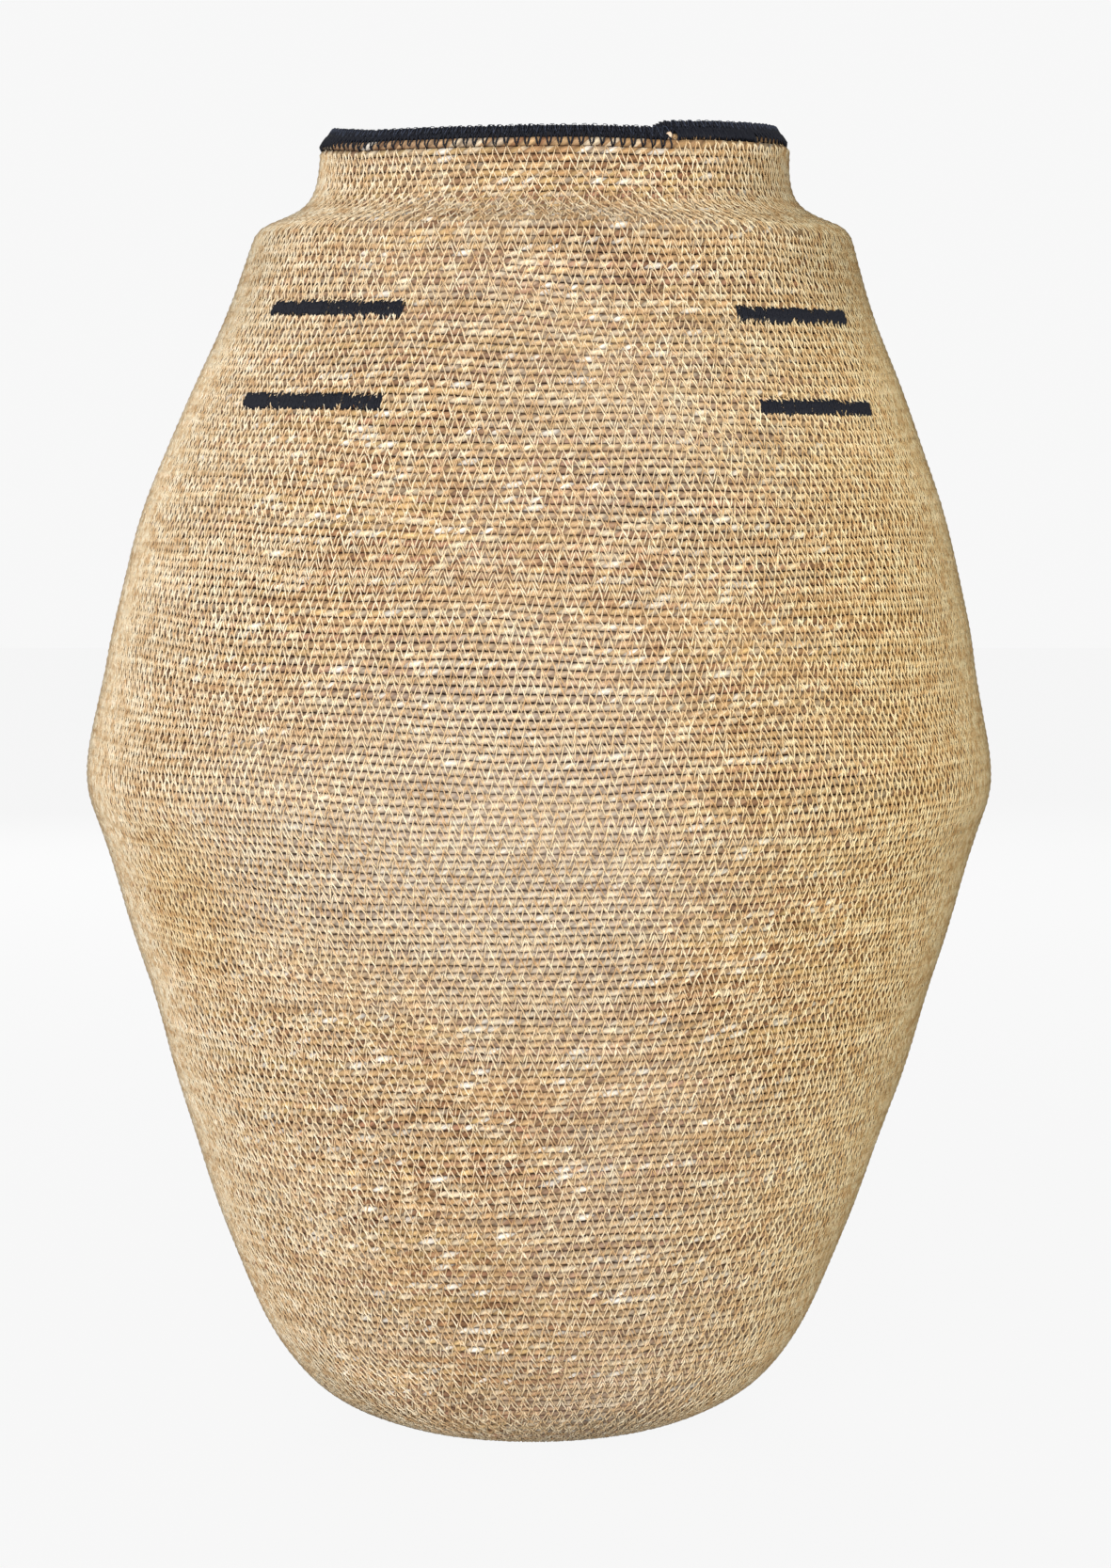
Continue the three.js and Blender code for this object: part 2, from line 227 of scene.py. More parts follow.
class Outline:
    """The cord's middle line up the wall, by length from the axis of the base."""

    def __init__(self):
        self.foot_shift, flat = station("base_disc", False)
        flat[1] = 0
        _, foot = station("foot_curve", True)
        _, crest_low = station("flare_wall", True)
        _, crest_high = station("upper_wall", False)
        _, corner_low = station("shoulder", False)
        self.height = cad_high.z
        self.belly = crest_high[1] - CREST_REACH
        corner = corner_low + along(CORNER_SLOPE, SHOULDER_ROUNDING)
        corner_high = corner + along(SHELF_SLOPE, SHOULDER_ROUNDING)
        collar = np.array([MOUTH_RADIUS, self.height - COLLAR_DEPTH])
        step_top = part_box("neck_collar")[1].z
        self.edge = step_top - along(RIM_LEAN, PITCH - SEAM_GAP / 2)[1]
        knee = np.array([MOUTH_RADIUS, self.edge - along(RIM_LEAN, LEANING_EDGE)[1]])
        curves = [
            np.array([[0, 0], flat]),
            bezier(flat, flat + [FLAT_PULL, 0], foot - along(FOOT_SLOPE, FOOT_PULL), foot),
            bezier(
                foot,
                foot + along(FOOT_SLOPE, LOWER_START_PULL),
                crest_low - along(LOWER_SLOPE, LOWER_END_PULL),
                crest_low,
            ),
            bezier(
                crest_low,
                crest_low + along(LOWER_SLOPE, CREST_PULL),
                crest_high - along(UPPER_SLOPE, CREST_PULL),
                crest_high,
            ),
            bezier(
                crest_high,
                crest_high + along(UPPER_SLOPE, UPPER_START_PULL),
                corner_low - along(CORNER_SLOPE, UPPER_END_PULL),
                corner_low,
            ),
            bezier(
                corner_low,
                corner_low + along(CORNER_SLOPE, CORNER_PULL),
                corner_high - along(SHELF_SLOPE, CORNER_PULL),
                corner_high,
            ),
            bezier(
                corner_high,
                corner_high + along(SHELF_SLOPE, SHELF_PULL),
                np.array([collar[0], collar[1] - COLLAR_PULL]),
                collar,
            ),
            np.array([collar, knee, knee + along(RIM_LEAN, RUN_ON)]),
        ]
        points = np.vstack([curves[0]] + [c[1:] for c in curves[1:]])
        length = np.r_[0, np.cumsum(np.hypot(*np.diff(points, axis=0).T))]
        even = np.arange(0, length[-1], FINE)
        outer = np.column_stack([np.interp(even, length, points[:, k]) for k in (0, 1)])
        slope = soften(np.gradient(outer, even, axis=0))
        outer = outer[0] + np.vstack([[0, 0], np.cumsum((slope[1:] + slope[:-1]) / 2, axis=0)]) * FINE
        slope /= np.hypot(*slope.T)[:, None]
        middle = outer - np.column_stack([slope[:, 1], -slope[:, 0]]) * (WALL / 2)
        middle[:, 0] = np.maximum(middle[:, 0], 0)
        self.s = np.r_[0, np.cumsum(np.hypot(*np.diff(middle, axis=0).T))]
        self.radius, self.z = middle.T
        self.slope = slope
        self.stretch = FINE / np.maximum(np.gradient(self.s), LEAST)
        self.wall = len(self.s) // 4
        self.edge_s = float(np.interp(self.edge, outer[self.wall :, 1], self.s[self.wall :]))

    def at_height(self, z):
        """Length up the wall at a height of the upright part."""
        return np.interp(z, self.z[self.wall :], self.s[self.wall :])

    def frame_at(self, s, azimuth):
        """Point, way out of the wall and way up the wall, at lengths and azimuths."""
        radius = np.interp(s, self.s, self.radius)
        z = np.interp(s, self.s, self.z)
        run = np.interp(s, self.s, self.slope[:, 0])
        rise = np.interp(s, self.s, self.slope[:, 1])
        low = np.clip(1 - z / self.belly, 0, 1)
        high = np.clip((z - self.belly) / (self.height - self.belly), 0, MOST_SHIFTED)
        shift = self.foot_shift * low**FOOT_BEND + MOUTH_SHIFT * high**MOUTH_BEND
        cos, sin = np.cos(azimuth), np.sin(azimuth)
        point = np.column_stack([shift + radius * cos, radius * sin, z])
        out = np.column_stack([rise * cos, rise * sin, -run])
        up = np.column_stack([run * cos, run * sin, rise])
        point += out * dents(s, azimuth)[:, None]
        point[:, 2] += rim_wave(azimuth) * np.clip((z - self.height + WAVE_DEPTH) / WAVE_GROW, 0, 1)
        return point, out, up


outline = Outline()


class Spiral:
    """Where the cord is, by its number of turns from the middle of the base."""

    first_turn = 0.3
    more_turns = 4
    samples = 60000

    def __init__(self):
        self.turns = outline.edge_s / PITCH + 0.5
        self.turn = np.linspace(self.first_turn, self.turns + self.more_turns, self.samples)
        radius = np.interp(self.turn * PITCH, outline.s, outline.radius)
        step = np.diff(self.turn) * TURN * (radius[1:] + radius[:-1]) / 2
        self.length = np.r_[0, np.cumsum(step)]

    def azimuth(self, turn):
        return LAP - TURN * (turn - self.turns)

    def turn_at(self, length):
        return np.interp(length, self.length, self.turn)

    def length_at(self, turn):
        return float(np.interp(turn, self.turn, self.length))

    def frame_at(self, turn, up_the_wall=0.0):
        """Frame at some turns, moved up the wall from the cord's middle."""
        azimuth = self.azimuth(turn)
        s = turn * PITCH + up_the_wall
        radius = np.interp(s, outline.s, outline.radius)
        z = np.interp(s, outline.s, outline.z)
        s = s - row_tilt(z) * radius * np.cos(azimuth) + row_wobble(s, azimuth)
        return outline.frame_at(np.maximum(s, LEAST), azimuth)


spiral = Spiral()


# Tones of the grass

# Each ply shows on the outside once in a lay, as one slanted strand with its own tone and bulge
FIRST_STRAND = 2
STRANDS = int(spiral.length[-1] / LAY) + 2 * FIRST_STRAND
BULGE = np.random.default_rng(BULGE_SEED).normal(1, BULGE_SPREAD, (STRANDS, 2))
PLY_OF_FACE = np.array([0, 0, 1, 1, 1, 1, 0, 0])
PLY_OF_POINT = np.array([0, 0, 0, 1, 1, 1, 1, 0])


def colour(red, green, blue):
    """A colour of the photograph's kind, 0 to 255, as linear values."""
    return np.array([(c / 255) ** 2.2 for c in (red, green, blue)])


TAN, ROSY, GREYISH = colour(203, 166, 121), colour(176, 131, 105), colour(190, 170, 144)
STRAW, BROWN = colour(212, 180, 124), colour(140, 100, 71)
PALE, WHITISH = colour(246, 228, 196), colour(254, 246, 232)

# Slow drifts from the tan, with how rare and how strong each is; odd strands, from which to which
# share of all, their tone and how strong it is; runs are counted in strands and in steps
DRIFTS = [(ROSY, 0.9, 0.9), (GREYISH, 1.1, 0.8), (STRAW, 1.0, 0.8)]
DRIFT_RUN = 9
ODD_STRANDS = [
    (0.00, 0.10, BROWN, 0.8),
    (0.10, 0.17, GREYISH, 0.9),
    (0.17, 0.30, PALE, 0.75),
    (0.30, 0.35, WHITISH, 0.9),
]
TONE_SPREAD = 0.12
BLADE_RUN, BLADE_SPREAD = 12, 0.10

# Painted shade between the rows: where round the cord the painted light starts and how fast it comes,
# and how much of it is left in the groove between the plies
LIGHT_START, LIGHT_RANGE = 0.12, 0.92
GROOVE_LIGHT = 0.5


def strand_tones():
    """A tone for each strand of each ply: slow drifts along the grass, and odd strands."""
    source = np.random.default_rng(TONE_SEED)
    place = np.arange(STRANDS)
    knots = np.arange(0, STRANDS + 2 * DRIFT_RUN, DRIFT_RUN)
    tones = np.zeros((STRANDS, 2, 3))
    for ply in (0, 1):
        base = TAN
        for tone, rare, most in DRIFTS:
            wander = np.interp(place, knots, source.uniform(0, 1, len(knots)))[:, None]
            base = base + (tone - base) * np.clip(wander * 2 - rare, 0, most)
        odd = source.random(STRANDS)
        for low, high, tone, share in ODD_STRANDS:
            picked = (odd >= low) & (odd < high)
            base[picked] = base[picked] + (tone - base[picked]) * share
        tones[:, ply] = base * np.exp(source.normal(0, TONE_SPREAD, (STRANDS, 1)))
    return tones


STRAND_TONES = strand_tones()


def strand_number(length, turned):
    """Which strand shows: it changes where the ply passes behind the cord."""
    return np.floor(length / LAY - turned + 0.5).astype(int) + FIRST_STRAND


def shade_of(angle):
    """Painted shade: 1 on the strands, less in the grooves between plies, 0 in the gaps between rows."""
    open_to_light = np.clip((np.abs(np.cos(angle)) - LIGHT_START) / LIGHT_RANGE, 0, 1)
    on_ply = (PLY_RELIEF[None, :] - (1 - GROOVE)) / GROOVE
    return open_to_light * (GROOVE_LIGHT + (1 - GROOVE_LIGHT) * on_ply)


def smooth_noise(length, scale, seed):
    """Even random wander along the whole cord, from -1 to 1, the same for every piece of it."""
    knots = np.arange(0, spiral.length[-1] + 2 * scale, scale)
    return np.interp(length, knots, np.random.default_rng(seed).uniform(-1, 1, len(knots)))


# Meshes


def make_mesh(name, points, quads, attributes=(), uvs=(), tint=None):
    """A mesh object from arrays, with one value per point for each attribute and a tint per face."""
    mesh = bpy.data.meshes.new(name)
    mesh.vertices.add(len(points))
    mesh.vertices.foreach_set("co", points.astype(np.float32).ravel())
    mesh.loops.add(quads.size)
    mesh.loops.foreach_set("vertex_index", quads.astype(np.int32).ravel())
    mesh.polygons.add(len(quads))
    mesh.polygons.foreach_set("loop_start", np.arange(len(quads), dtype=np.int32) * 4)
    mesh.update(calc_edges=True)
    mesh.polygons.foreach_set("use_smooth", np.ones(len(quads), bool))
    for key, values in attributes:
        layer = mesh.attributes.new(key, "FLOAT", "POINT")
        layer.data.foreach_set("value", values.astype(np.float32))
    for key, values in uvs:
        mesh.uv_layers.new(name=key).data.foreach_set("uv", values.astype(np.float32).ravel())
    if tint is not None:
        solid = np.column_stack([tint, np.ones(len(tint))]).astype(np.float32)
        mesh.attributes.new("tint", "FLOAT_COLOR", "FACE").data.foreach_set("color", solid.ravel())
    piece = bpy.data.objects.new(name, mesh)
    bpy.context.scene.collection.objects.link(piece)
    return piece


def tube_quads(rings, sides):
    """Quads of an open tube, ring by ring, and the ring and side of each quad."""
    ring = np.repeat(np.arange(rings - 1), sides)
    side = np.tile(np.arange(sides), rings - 1)
    after = (side + 1) % sides
    quads = np.column_stack(
        [ring * sides + side, ring * sides + after, (ring + 1) * sides + after, (ring + 1) * sides + side]
    )
    return quads, ring, side


def bake_uv(ring, side, sides, line_share=0.6):
    """Lays the quads of a long tube out in lines that fill a square."""
    rings = int(ring.max()) + 1
    across = max(1, round(math.sqrt(rings * sides * line_share)))
    lines = math.ceil(rings / across)
    u = (ring % across)[:, None] + ALONG_CORNERS
    v = (ring // across * sides + side)[:, None] + ROUND_CORNERS
    return np.stack([u / across, v / (lines * sides)], axis=-1)


def wall_path(length):
    """Frames of the cord where it lies in its row."""
    return spiral.frame_at(spiral.turn_at(length))


def full_size(length):
    return np.ones(len(length))


def cord_piece(name, start, end, thick=HALF_THICK, path=wall_path, taper=full_size):
    """A stretch of two-ply cord between two lengths along the spiral."""
    first, last = round(start / STEP), round(end / STEP)
    index = np.arange(first, last + 1)
    length = index * STEP
    point, out, up = path(length)
    angle = TURN * (np.arange(SIDES)[None, :] - index[:, None]) / SIDES
    swell = 1 + sum(share * smooth_noise(length, run, seed) for share, run, seed in SWELLS)
    on_point = strand_number(length[:, None], np.arange(SIDES)[None, :] / SIDES)
    reach = PLY_RELIEF[None, :] * swell[:, None] * BULGE[on_point, PLY_OF_POINT[None, :]]
    pressed = 1 - PRESSED * (1 - reach)
    size = taper(length)[:, None]
    reach, pressed = reach * size, pressed * size
    stretch = np.interp(spiral.turn_at(length) * PITCH, outline.s, outline.stretch)
    tall = HALF_TALL * np.clip(stretch, 1, MOST_STRETCH)[:, None]
    point = point + out * (SWAY * smooth_noise(length, SWAY_RUN, SWAY_SEED))[:, None]
    section = (
        point[:, None, :]
        + out[:, None, :] * (np.cos(angle) * reach * thick)[..., None]
        + up[:, None, :] * (np.sin(angle) * pressed * tall)[..., None]
    )
    quads, ring, side = tube_quads(len(index), SIDES)
    strand_along = (ring[:, None] + ALONG_CORNERS + first) * STEP
    strand_round = (side[:, None] + ROUND_CORNERS) / SIDES
    on_face = strand_number((ring + first + 0.5) * STEP, (side + 0.5) / SIDES)
    blades = (int(ring.max()) // BLADE_RUN + 2, SIDES)
    blade = np.random.default_rng(first + 1).normal(0, BLADE_SPREAD, blades)
    tint = STRAND_TONES[on_face, PLY_OF_FACE[side]] * np.exp(blade[ring // BLADE_RUN, side])[:, None]
    return make_mesh(
        name,
        section.reshape(-1, 3),
        quads,
        attributes=[("shade", shade_of(angle).ravel())],
        uvs=[
            ("strand", np.stack([strand_along, strand_round], axis=-1)),
            ("OFBake", bake_uv(ring, side, SIDES)),
        ],
        tint=tint,
    )


def tube_along(points, normals, radius, sides):
    """Rings round a polyline that lies on a surface."""
    way = np.gradient(points, axis=0)
    way /= np.linalg.norm(way, axis=1)[:, None] + 1e-12
    across = np.cross(normals, way)
    across /= np.linalg.norm(across, axis=1)[:, None] + 1e-12
    proud = np.cross(way, across)
    angle = TURN * np.arange(sides) / sides + math.pi / 2
    ring = (
        points[:, None, :]
        + radius * np.cos(angle)[None, :, None] * across[:, None, :]
        + radius * np.sin(angle)[None, :, None] * proud[:, None, :]
    )
    return ring.reshape(-1, 3)


def thread_piece(name, points, normals, radius, sides=3, ring_run=0.25):
    """A thread round a polyline; its noise moves on by ring_run with each ring."""
    quads, ring, side = tube_quads(len(points), sides)
    strand_along = (ring[:, None] + ALONG_CORNERS) * ring_run
    strand_round = side[:, None] / sides + np.zeros(4)
    return make_mesh(
        name,
        tube_along(points, normals, radius, sides),
        quads,
        uvs=[
            ("strand", np.stack([strand_along, strand_round], axis=-1)),
            ("OFBake", bake_uv(ring, side, sides)),
        ],
    )


def legs(values, share):
    """Values at some shares of each straight leg from one to the next, and the last one."""
    on_legs = values[:-1, None] * (1 - share) + values[1:, None] * share
    return np.r_[on_legs.ravel(), values[-1]]


def zigzag(start, end, seed, inside=False):
    """Points and normals of a zigzag along the seam above the cord, between two lengths."""
    source = np.random.default_rng(seed)
    count = max(2, int((end - start) / (STITCH / 2)))
    knot = np.arange(count + 1)
    lean = STITCH_LEAN + LEAN_SPREAD * smooth_noise(knot * STITCH / 2 + start, LEAN_RUN, LEAN_SEED)
    travel = start + knot * STITCH / 2 + np.where(knot % 2, 1, -1) * lean * STITCH / 4
    travel += source.normal(0, UNEVEN_ALONG, count + 1)
    level = np.where(knot % 2, STITCH_HALF, -STITCH_HALF) + source.normal(0, UNEVEN_UP, count + 1)
    proud = np.tile(np.array([HOLE_DEPTH, CROWN_OUT, SEAM_OUT, CROWN_OUT]), count)
    proud = np.r_[proud + source.normal(0, UNEVEN_OUT, len(proud)), HOLE_DEPTH]
    point, out, _ = spiral.frame_at(spiral.turn_at(legs(travel, LEG)), PITCH / 2 + legs(level, LEG))
    if inside:
        out = -out
    return point + out * proud[:, None], out


# Materials

# Looks of the grass: fibres along a strand, streaks over a few rows, and fading in patches
FIBRES, FIBRE_SHARE = (170, 26, 1), 0.8
FIBRE_STOPS = [(0.30, 0.62), (0.50, 1.0), (0.70, 1.3)]
STREAKS = (16, 16, 250)
STREAK_BROWN, STREAK_BRIGHT = (0.86, 0.80, 0.74, 1), (1.10, 1.10, 1.14, 1)
FADING = 7.0
FADED_STOPS = [(0.45, 0), (0.70, 0.4)]

# Patches, each with its middle, its reach and its share: worn pale, yellowed, and painted shade;
# a painted warm light also yellows the straw towards the right, between two places
WORN_PATCHES = [
    ((-0.02, -0.21, 0.30), 0.13, 0.55),
    ((-0.13, -0.165, 0.286), 0.07, 0.55),
    ((0.196, -0.07, 0.285), 0.06, 0.55),
    ((0.148, -0.085, 0.15), 0.06, 0.55),
]
PAINTED_WARM_LIGHT, WARM_LIGHT_FROM, WARM_LIGHT_TO = (0.93, 0.88, 0.69, 1), 0.02, 0.17
WARM = (0.90, 0.80, 0.58, 1)
WARM_PATCHES = [((-0.168, -0.125, 0.25), 0.062, 0.6)]
# Painted shade: darker patches at both sides of the shoulder and at the foot
PAINTED_SHADE = (0.76, 0.76, 0.75, 1)
PAINTED_SHADE_PATCHES = [
    ((0.115, -0.05, 0.548), 0.075, 1.0),
    ((-0.13, -0.035, 0.54), 0.06, 0.7),
    ((-0.09, -0.05, 0.015), 0.055, 0.8),
    ((0.03, -0.08, 0.012), 0.055, 0.6),
]
PATCH_CORE = 0.3

# Thread: how fine its tone wanders, and where the wander is dim, plain and light
THREAD_WANDER = 210.0
THREAD_DIM, THREAD_PLAIN, THREAD_LIGHT = 0.34, 0.48, 0.66
THREAD_FIBRES = 6.0


def new_material(name, roughness, specular=0.25):
    material = bpy.data.materials.new(name)
    material.use_nodes = True
    nodes, links = material.node_tree.nodes, material.node_tree.links
    shader = nodes["Principled BSDF"]
    shader.inputs["Roughness"].default_value = roughness
    shader.inputs["Specular IOR Level"].default_value = specular
    return material, nodes, links, shader


def node(nodes, kind, **values):
    made = nodes.new(kind)
    for key, value in values.items():
        setattr(made, key, value)
    return made


def linear(red, green, blue):
    """A colour of the photograph's kind, 0 to 255, as Blender's linear values."""
    return (*colour(red, green, blue), 1)


def grey(value):
    return (value, value, value, 1)


def noise_of(nodes, links, source, scale, detail=2.0, stretch=(1, 1, 1)):
    """Noise over a stretched vector, as a 0 to 1 output."""
    mapping = node(nodes, "ShaderNodeMapping")
    mapping.inputs["Scale"].default_value = stretch
    links.new(source, mapping.inputs["Vector"])
    noise = node(nodes, "ShaderNodeTexNoise")
    noise.inputs["Scale"].default_value = scale
    noise.inputs["Detail"].default_value = detail
    links.new(mapping.outputs["Vector"], noise.inputs["Vector"])
    return noise.outputs["Fac"]


def ramp(nodes, links, source, stops):
    made = node(nodes, "ShaderNodeValToRGB")
    elements = made.color_ramp.elements
    while len(elements) < len(stops):
        elements.new(0.5)
    for element, (place, tone) in zip(elements, stops):
        element.position, element.color = place, tone
    links.new(source, made.inputs["Fac"])
    return made.outputs["Color"]


def grey_ramp(nodes, links, source, stops):
    return ramp(nodes, links, source, [(place, grey(value)) for place, value in stops])


def mix(nodes, links, factor, first, second, blend="MIX"):
    made = node(nodes, "ShaderNodeMix", data_type="RGBA", blend_type=blend)
    for socket, value in ((made.inputs[0], factor), (made.inputs[6], first), (made.inputs[7], second)):
        if isinstance(value, bpy.types.NodeSocket):
            links.new(value, socket)
        else:
            socket.default_value = value
    return made.outputs[2]


def tinted(nodes, links, share, tone, tint):
    """A tone of which a share is multiplied by a tint."""
    return mix(nodes, links, share, tone, mix(nodes, links, 1.0, tone, tint, "MULTIPLY"))


def spread(nodes, links, source, low, high, most=1.0):
    """A value that goes from 0 at low to most at high."""
    made = node(nodes, "ShaderNodeMapRange", interpolation_type="SMOOTHSTEP")
    made.inputs["From Min"].default_value = low
    made.inputs["From Max"].default_value = high
    made.inputs["To Max"].default_value = most
    links.new(source, made.inputs["Value"])
    return made.outputs["Result"]


def near(nodes, links, place, centre, reach, most):
    """A share that fades out round a point."""
    away = node(nodes, "ShaderNodeVectorMath", operation="DISTANCE")
    away.inputs[1].default_value = centre
    links.new(place, away.inputs[0])
    return spread(nodes, links, away.outputs["Value"], reach, reach * PATCH_CORE, most)


def bumped(nodes, links, shader, height, strength, distance):
    """Lets a height raise the surface a little."""
    bump = node(nodes, "ShaderNodeBump")
    bump.inputs["Strength"].default_value = strength
    bump.inputs["Distance"].default_value = distance
    links.new(height, bump.inputs["Height"])
    links.new(bump.outputs["Normal"], shader.inputs["Normal"])


def streaked(nodes, links, place, tone):
    """Stretches of a few rows that are darker and browner, or paler, than the rest."""
    long_noise = noise_of(nodes, links, place, 1.0, 2, STREAKS)
    brown = ramp(nodes, links, long_noise, [(0.32, STREAK_BROWN), (0.46, grey(1.0))])
    bright = ramp(nodes, links, long_noise, [(0.55, grey(1.0)), (0.68, STREAK_BRIGHT)])
    tone = mix(nodes, links, 1.0, tone, brown, "MULTIPLY")
    return mix(nodes, links, 1.0, tone, bright, "MULTIPLY")


def painted_light_and_yellowing(nodes, links, place, tone):
    """Straw with a painted warm light towards the right, yellowed at the left, and painted shade at
    shoulder and foot.
    """
    # A painted warm light tints the right side, between two places in x.
    side = node(nodes, "ShaderNodeSeparateXYZ")
    links.new(place, side.inputs[0])
    share = spread(nodes, links, side.outputs["X"], WARM_LIGHT_FROM, WARM_LIGHT_TO)
    tone = tinted(nodes, links, share, tone, PAINTED_WARM_LIGHT)
    for tint, patches in ((WARM, WARM_PATCHES), (PAINTED_SHADE, PAINTED_SHADE_PATCHES)):
        for patch in patches:
            tone = tinted(nodes, links, near(nodes, links, place, *patch), tone, tint)
    return tone


def cord_material(name, painted_shade_tone, tint_share=1.0, plain=None, worn=None):
    """Twisted grass: a tone per strand, fibres along it, painted shade in the gaps between the rows and
    the grooves between the plies.
    """
    material, nodes, links, shader = new_material(name, 0.78)
    strand = node(nodes, "ShaderNodeUVMap", uv_map="strand").outputs["UV"]
    place = node(nodes, "ShaderNodeTexCoord").outputs["Object"]
    tone = node(nodes, "ShaderNodeAttribute", attribute_name="tint").outputs["Color"]
    if plain is not None:
        tone = mix(nodes, links, tint_share, plain, tone)
    fibre = noise_of(nodes, links, strand, 1.0, 3, FIBRES)
    streak = grey_ramp(nodes, links, fibre, FIBRE_STOPS)
    tone = mix(nodes, links, FIBRE_SHARE, tone, streak, "MULTIPLY")
    if worn is not None:
        tone = streaked(nodes, links, place, tone)
        faded = grey_ramp(nodes, links, noise_of(nodes, links, place, FADING, 2), FADED_STOPS)
        tone = mix(nodes, links, faded, tone, worn)
        for patch in WORN_PATCHES:
            tone = mix(nodes, links, near(nodes, links, place, *patch), tone, worn)
        # Painted warm light on the right side and painted shade at the shoulder and the foot, with the
        # yellowed patch at the left.
        tone = painted_light_and_yellowing(nodes, links, place, tone)
    # Painted shade: the gaps between the rows and the grooves between the plies darken towards the cord's
    # painted shade tone.
    shade = node(nodes, "ShaderNodeAttribute", attribute_name="shade").outputs["Fac"]
    links.new(mix(nodes, links, shade, painted_shade_tone, tone), shader.inputs["Base Color"])
    bumped(nodes, links, shader, fibre, 0.6, 0.25 * MM)
    return material


def thread_material(name, roughness, plain, dim=None, light=None):
    """Dull sewing thread; where a dim and a light tone are given, it wanders from stitch to stitch."""
    material, nodes, links, shader = new_material(name, roughness)
    shader.inputs["Base Color"].default_value = plain
    if light is not None:
        place = node(nodes, "ShaderNodeTexCoord").outputs["Object"]
        wander = noise_of(nodes, links, place, THREAD_WANDER, 3)
        stops = [(THREAD_DIM, dim), (THREAD_PLAIN, plain), (THREAD_LIGHT, light)]
        tone = streaked(nodes, links, place, ramp(nodes, links, wander, stops))
        # The thread also gets the painted warm light on the right side and the painted shade at the
        # shoulder and the foot.
        links.new(painted_light_and_yellowing(nodes, links, place, tone), shader.inputs["Base Color"])
    strand = node(nodes, "ShaderNodeUVMap", uv_map="strand").outputs["UV"]
    bumped(nodes, links, shader, noise_of(nodes, links, strand, THREAD_FIBRES), 0.3, 0.05 * MM)
    return material


# Each cord's darkest tone is its painted shade, in the gaps between the rows and the grooves between the
# plies.
seagrass = cord_material("seagrass cord", painted_shade_tone=linear(48, 21, 4), worn=linear(216, 203, 185))
black_grass = cord_material("black cord", painted_shade_tone=linear(6, 6, 9), tint_share=0.02, plain=linear(24, 26, 34))
pale = cord_material("cut seagrass", painted_shade_tone=linear(120, 86, 62), tint_share=0.15, plain=linear(240, 206, 176))
cream = thread_material(
    "cream thread", 0.65, linear(237, 211, 171), dim=linear(212, 176, 132), light=linear(253, 237, 206)
)
black = thread_material("black thread", 0.6, linear(15, 18, 28))
grey_highlight_thread = thread_material("grey thread painted highlight", 0.5, linear(66, 72, 88))


def finish_piece(piece, material, slot, *nodes_replaced):
    piece.data.materials.append(material)
    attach(piece, "root")
    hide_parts(*nodes_replaced)
    return piece


# The plain cord and its sewing, zone by zone

GROUPS = {
    "foot": ["base_disc", "foot_curve"],
    "lower": ["lower_wall"],
    "flare": ["flare_wall"],
    "belly": ["belly_band"],
    "upper": ["upper_wall"],
    "taper": ["taper_wall"],
    "neck": ["shoulder", "neck_root", "neck_collar"],
}
MOST_STEPS = 12400
MOST_LEGS = 8200


def group_ends():
    """Lengths along the cord where each group of zones starts, and where the last one ends."""
    upright = outline.s > station("base_disc", False)[1][0] + PITCH
    starts = [float(spiral.length[0])]
    for zones in list(GROUPS.values())[1:]:
        low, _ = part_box(zones[0])
        up_the_wall = float(np.interp(low.z, outline.z[upright], outline.s[upright]))
        starts.append(spiral.length_at(up_the_wall / PITCH))
    return [*starts, spiral.length_at(spiral.turns)]


def stretches(start, end, most):
    """Cuts a length into equal stretches no longer than most, and gives their ends."""
    count = max(1, math.ceil((end - start) / most))
    cuts = np.linspace(start, end, count + 1)
    return list(zip(cuts[:-1], cuts[1:]))


ends = group_ends()
sewn_end = spiral.length_at(spiral.turns - BARE_ROWS)
for number, (group, zones) in enumerate(GROUPS.items()):
    start, end = ends[number], ends[number + 1]
    for part, stretch in enumerate(stretches(start, end, MOST_STEPS * STEP)):
        piece = cord_piece(f"cord_{group}_{part + 1}", *stretch)
        finish_piece(piece, seagrass, "seagrass_cord", *zones)
    for part, stretch in enumerate(stretches(start, min(end, sewn_end), MOST_LEGS * STITCH / 2)):
        sewing = zigzag(*stretch, SEWING_SEED + SEEDS_A_GROUP * number + part)
        piece = thread_piece(f"thread_{group}_{part + 1}", *sewing, THREAD)
        finish_piece(piece, cream, "cream_thread", *zones)

sewing = zigzag(ends[-2], sewn_end, INSIDE_SEED, inside=True)
piece = thread_piece("thread_neck_inside", *sewing, THREAD)
finish_piece(piece, cream, "cream_thread", *GROUPS["neck"])


# The black rim

RIM_RADIUS = MOUTH_RADIUS - WALL / 2
RIM_START = spiral.length_at(spiral.turns)
RIM_MIDWAY = spiral.length_at(spiral.turns + BLACK_TURNS / 2)
RIM_END = spiral.length_at(spiral.turns + BLACK_TURNS)
RIM_TIP = RIM_END + RIM_TAIL


def rim_drop(turn):
    """How far the black cord's last end sinks beside the turn below it."""
    past = np.clip((turn - spiral.turns - BLACK_TURNS) * TURN * RIM_RADIUS / RIM_TAIL, 0, 1)
    return PITCH * past**2 * (3 - 2 * past)


def rim_path(length):
    turn = spiral.turn_at(length)
    return spiral.frame_at(turn, -rim_drop(turn))


def rim_taper(length):
    left = np.clip((RIM_TIP - length) / RIM_TAIL, 0, 1)
    return TIP_SIZE + (1 - TIP_SIZE) * np.sqrt(left)


rim = cord_piece("cord_rim", RIM_START + STEP, RIM_TIP, RIM_HALF_THICK, rim_path, rim_taper)
finish_piece(rim, black_grass, "black_cord", "rim_cord")


def on_rim(length, level, reach, inside=False):
    """Points and normals near the black cord: how far along it, up from its middle and out of it."""
    turn = spiral.turn_at(length)
    point, out, _ = spiral.frame_at(turn, level - rim_drop(turn))
    if inside:
        out = -out
    return point + out * reach[:, None], out


